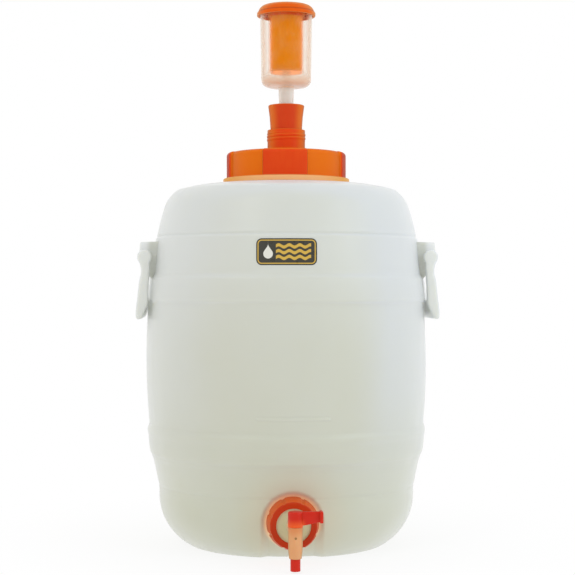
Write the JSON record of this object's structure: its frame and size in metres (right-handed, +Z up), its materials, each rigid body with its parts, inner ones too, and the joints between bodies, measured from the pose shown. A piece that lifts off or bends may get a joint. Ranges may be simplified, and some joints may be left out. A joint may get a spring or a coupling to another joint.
{
  "type": "fermenting keg",
  "caption": "Barrel-shaped plastic fermenting keg with a screw lid, bung and airlock, a draining tap and swing handles.",
  "frame": {"origin": "centre of the base plane, where the standing ring touches the floor", "axes": "+Z up along the tank axis, -Y towards the tap at the front, handles on -X and +X"},
  "size_m": [0.3506, 0.3725, 0.632],
  "materials": {
    "natural_plastic": "satin translucent natural polyethylene",
    "handle_plastic": "satin natural polyethylene",
    "sticker": "glossy printed film",
    "orange_plastic": "smooth injection moulded",
    "lever_plastic": "smooth injection moulded",
    "tap_plastic": "translucent natural polypropylene",
    "cloudy_plastic": "clear, slightly cloudy polypropylene",
    "orange_rubber": "smooth soft rubber",
    "seal_rubber": "pale silicone"
  },
  "bodies": {
    "tank": {"tank": "natural_plastic", "label": "sticker"},
    "lid_rise": {"lid_seal": "seal_rubber"},
    "lid": {"lid": "orange_plastic"},
    "bung": {"bung": "orange_rubber"},
    "airlock": {"airlock_cup": "cloudy_plastic"},
    "airlock_cap": {"airlock_cap": "orange_plastic"},
    "tap": {"tap_body": "tap_plastic", "tap_gasket": "seal_rubber"},
    "tap_nut": {"tap_nut": "orange_plastic"},
    "tap_plug": {"tap_plug": "lever_plastic"},
    "handle_left": {"handle_left": "handle_plastic"},
    "handle_right": {"handle_right": "handle_plastic"}
  },
  "joints": [
    {"name": "lid_lift", "type": "slide", "parent": "tank", "child": "lid_rise", "axis": [0, 0, 1], "range_m": [0, 0.0121]},
    {"name": "lid_turn", "type": "hinge", "parent": "lid_rise", "child": "lid", "pos_m": [0, 0, 0.436], "axis": [0, 0, 1], "range_deg": [0, 540]},
    {"name": "bung_pull", "type": "slide", "parent": "lid", "child": "bung", "axis": [0, 0, 1], "range_m": [0, 0.03]},
    {"name": "airlock_pull", "type": "slide", "parent": "bung", "child": "airlock", "axis": [0, 0, 1], "range_m": [0, 0.045]},
    {"name": "cap_lift", "type": "slide", "parent": "airlock", "child": "airlock_cap", "axis": [0, 0, 1], "range_m": [0, 0.08]},
    {"name": "tap_draw", "type": "slide", "parent": "tank", "child": "tap", "axis": [0, -1, 0], "range_m": [0, 0.0073]},
    {"name": "nut_turn", "type": "hinge", "parent": "tap", "child": "tap_nut", "pos_m": [0, -0.156, 0.0435], "axis": [0, -1, 0], "range_deg": [0, 720]},
    {"name": "tap_turn", "type": "hinge", "parent": "tap", "child": "tap_plug", "pos_m": [0, -0.2, 0.04], "axis": [0, 0, -1], "range_deg": [0, 90]},
    {"name": "handle_left_swing", "type": "hinge", "parent": "tank", "child": "handle_left", "pos_m": [-0.165, 0, 0.3335], "axis": [0, 1, 0], "range_deg": [0, 165]},
    {"name": "handle_right_swing", "type": "hinge", "parent": "tank", "child": "handle_right", "pos_m": [0.165, 0, 0.3335], "axis": [0, -1, 0], "range_deg": [0, 165]}
  ],
  "couplings": [
    {"joint": "lid_lift", "follows": "lid_turn", "m_per_rad": 0.0012732},
    {"joint": "tap_draw", "follows": "nut_turn", "m_per_rad": 0.00057296}
  ]
}
